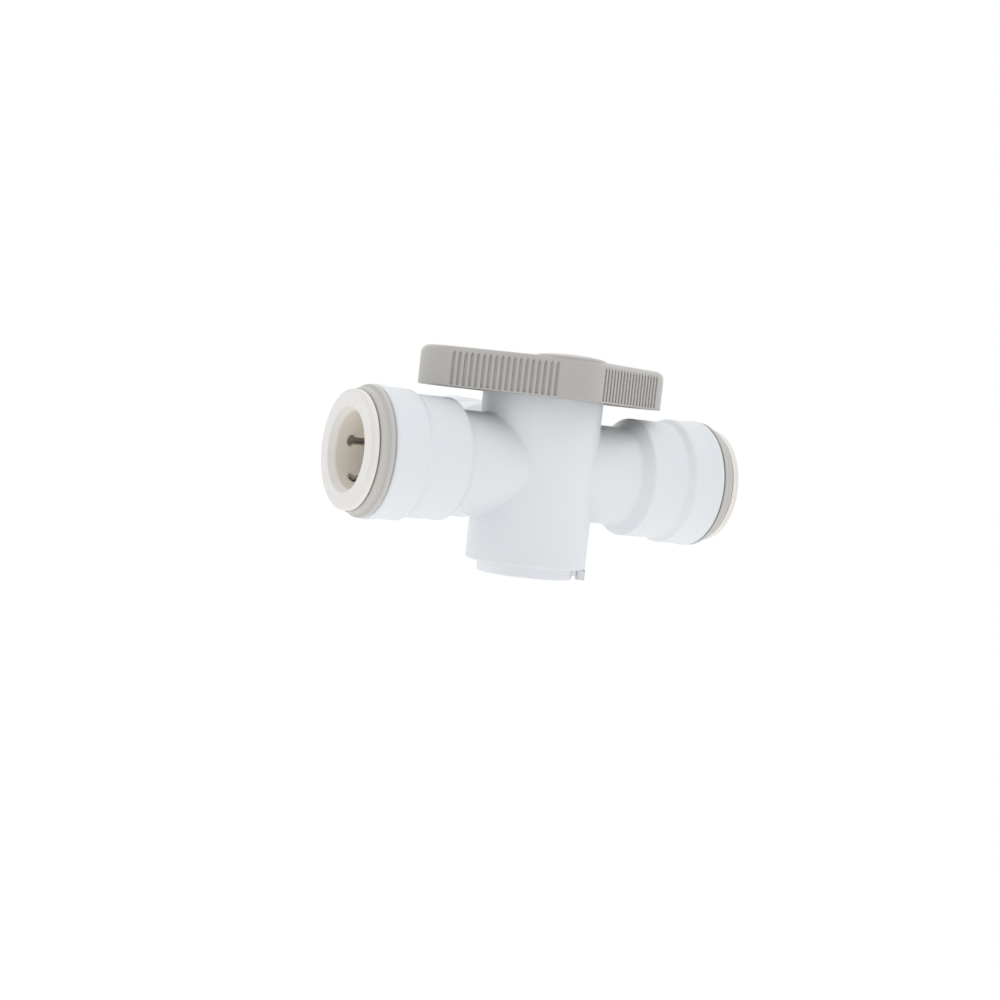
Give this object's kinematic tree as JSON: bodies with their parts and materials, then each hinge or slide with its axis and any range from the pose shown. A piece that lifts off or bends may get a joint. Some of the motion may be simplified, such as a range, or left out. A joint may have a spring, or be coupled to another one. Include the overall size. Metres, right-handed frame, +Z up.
{
  "type": "three-way bypass valve",
  "caption": "White push-fit bypass valve with a T-bored ball in an upright barrel, a ribbed grey turning handle and release collets in grey end caps.",
  "frame": {"origin": "on the barrel's axis, on the foot of the bottom plug", "axes": "+X along the run to the right port, +Y out of the rear port, +Z up the barrel to the handle"},
  "size_m": [0.092, 0.067, 0.0488],
  "materials": {
    "body_white": "satin moulded white",
    "handle_grey": "satin warm grey",
    "cap_grey": "satin warm grey",
    "collet_white": "satin off-white",
    "spacer_plastic": "satin white",
    "seat_plastic": "slippery white",
    "ball_plastic": "polished ivory",
    "seal_rubber": "black rubber",
    "tooth_steel": "stamped stainless"
  },
  "bodies": {
    "valve": {"valve_body": "body_white", "bottom_plug": "body_white", "plug_seal": "seal_rubber", "left_end_cap": "cap_grey", "left_seal_spacer": "spacer_plastic", "left_tube_seal": "seal_rubber", "left_ball_seat": "seat_plastic", "right_end_cap": "cap_grey", "right_seal_spacer": "spacer_plastic", "right_tube_seal": "seal_rubber", "right_ball_seat": "seat_plastic", "rear_end_cap": "cap_grey", "rear_seal_spacer": "spacer_plastic", "rear_tube_seal": "seal_rubber", "rear_ball_seat": "seat_plastic"},
    "handle": {"handle": "handle_grey", "ball_stem": "ball_plastic", "diverter_ball": "ball_plastic", "stem_washer": "seat_plastic", "lower_stem_seal": "seal_rubber", "upper_stem_seal": "seal_rubber"},
    "left_collet": {"left_collet": "collet_white", "left_grip_teeth": "tooth_steel"},
    "right_collet": {"right_collet": "collet_white", "right_grip_teeth": "tooth_steel"},
    "rear_collet": {"rear_collet": "collet_white", "rear_grip_teeth": "tooth_steel"}
  },
  "joints": [
    {"name": "handle_turn", "type": "hinge", "parent": "valve", "child": "handle", "pos_m": [0, 0, 0.04], "axis": [0, 0, 1], "range_deg": [-83.1, 96.9]},
    {"name": "left_release", "type": "slide", "parent": "valve", "child": "left_collet", "axis": [-1, 0, 0], "range_m": [-0.00025, 0.0015]},
    {"name": "right_release", "type": "slide", "parent": "valve", "child": "right_collet", "axis": [1, 0, 0], "range_m": [-0.00025, 0.0015]},
    {"name": "rear_release", "type": "slide", "parent": "valve", "child": "rear_collet", "axis": [0, 1, 0], "range_m": [-0.00025, 0.0015]}
  ]
}
